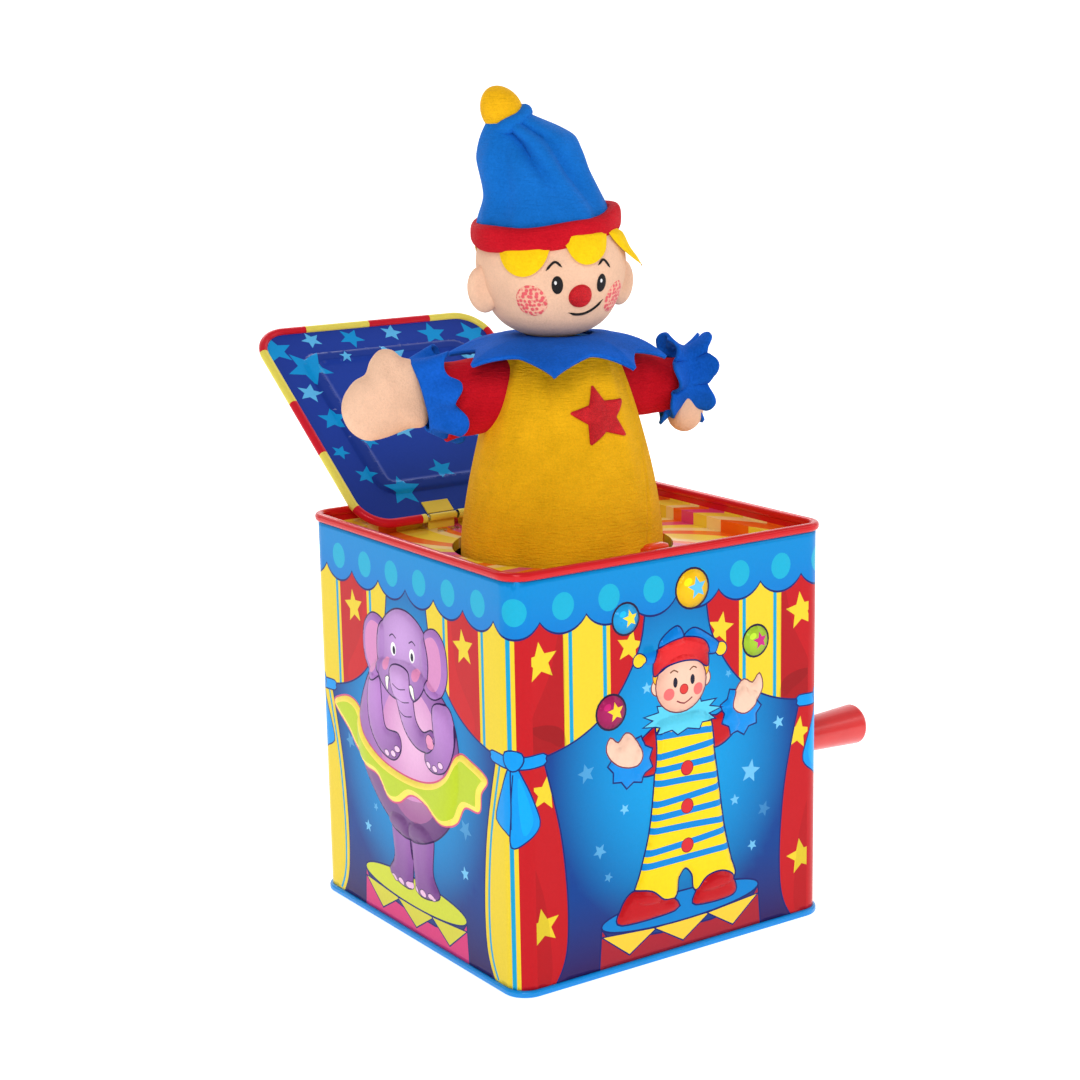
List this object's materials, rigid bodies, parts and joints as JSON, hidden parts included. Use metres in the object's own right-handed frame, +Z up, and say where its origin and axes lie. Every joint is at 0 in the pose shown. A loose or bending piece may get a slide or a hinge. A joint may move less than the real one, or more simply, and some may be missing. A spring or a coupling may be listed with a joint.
{
  "type": "jack in the box",
  "caption": "Printed tin box with a hinged lid, side crank and music movement; a fabric clown on a coil spring pops up through a round mouth.",
  "frame": {"origin": "middle of the box's underside, on the table", "axes": "+Z up, -Y towards the front with the latch, +X towards the crank, +Y towards the lid hinge"},
  "size_m": [0.1996, 0.2152, 0.315],
  "materials": {
    "printed_tin": "lithographed tinplate: printed inks under clear gloss varnish",
    "blue_tin": "gloss enamel on tinplate",
    "bare_steel": "zinc-plated steel, satin",
    "spring_steel": "hardened spring steel, lightly oiled",
    "brass": "stamped brass, satin",
    "orange_metal": "gloss orange-red enamel",
    "red_plastic": "glossy moulded plastic",
    "yellow_velour": "knitted velour with a fine cross grain",
    "blue_velour": "soft velour, crumpled",
    "blue_felt": "pressed felt with cut edges",
    "red_velour": "knitted velour",
    "face_knit": "fine brushed knit over stuffing",
    "red_thread": "satin-stitch embroidery",
    "yellow_felt": "pressed felt with cut edges"
  },
  "bodies": {
    "case": {"tin_body": "printed_tin", "bottom_plate": "blue_tin", "top_plate": "printed_tin", "hinge_tongues": "printed_tin", "hinge_rivets": "bare_steel", "crank_bush": "brass", "music_frame": "bare_steel", "frame_rivets": "bare_steel", "comb_block": "bare_steel", "comb": "spring_steel", "comb_screws": "bare_steel", "latch_bracket": "bare_steel", "latch_pin": "bare_steel", "latch_spring": "spring_steel", "spring_seat": "bare_steel", "main_spring": "spring_steel", "dress": "yellow_velour", "chest_star": "red_thread"},
    "lid": {"lid": "printed_tin", "hinge_pins": "bare_steel", "hinge_flaps": "printed_tin"},
    "clown": {"neck_plate": "bare_steel", "head": "face_knit", "ears": "face_knit", "nose": "red_thread", "hair": "yellow_felt", "hat_band": "red_velour", "hat": "blue_velour", "hat_tip": "yellow_velour", "collar": "blue_felt", "left_sleeve": "red_velour", "right_sleeve": "red_velour", "left_cuff": "blue_felt", "right_cuff": "blue_felt", "left_hand": "face_knit", "right_hand": "face_knit"},
    "crank": {"crank_rod": "bare_steel", "pinion": "brass"},
    "knob": {"crank_knob": "red_plastic"},
    "drum": {"drum": "brass", "drum_gear": "brass", "release_cam": "brass"},
    "latch": {"latch_lever": "orange_metal"}
  },
  "joints": [
    {"name": "clown_rise", "type": "slide", "parent": "case", "child": "clown", "axis": [0, 0, 1], "range_m": [-0.15, 0], "stiffness_N_per_m": 60, "springref_m": 0.03, "deforming": ["main_spring", "dress", "chest_star", "hat", "hat_tip", "left_sleeve", "right_sleeve", "left_cuff", "right_cuff", "left_hand", "right_hand"]},
    {"name": "lid_hinge", "type": "hinge", "parent": "case", "child": "lid", "pos_m": [0, 0.054, 0.1476], "axis": [1, 0, 0], "range_deg": [0, 143.05]},
    {"name": "latch_release", "type": "hinge", "parent": "case", "child": "latch", "pos_m": [0, -0.0616, 0.045], "axis": [1, 0, 0], "range_deg": [0, 1.8], "stiffness_Nm_per_rad": 0.5, "springref_deg": -2.86, "deforming": ["latch_spring"]},
    {"name": "crank_turn", "type": "hinge", "parent": "case", "child": "crank", "pos_m": [0.07, 0, 0.075], "axis": [1, 0, 0], "continuous": true},
    {"name": "knob_spin", "type": "hinge", "parent": "crank", "child": "knob", "pos_m": [0.1, -0.04, 0.06], "axis": [1, 0, 0], "continuous": true},
    {"name": "drum_turn", "type": "hinge", "parent": "case", "child": "drum", "pos_m": [0.05, -0.0243, 0.075], "axis": [1, 0, 0], "continuous": true}
  ],
  "couplings": [
    {"joint": "lid_hinge", "follows": "clown_rise", "rad_per_m": -16.639},
    {"joint": "drum_turn", "follows": "crank_turn", "ratio": -0.33333}
  ]
}
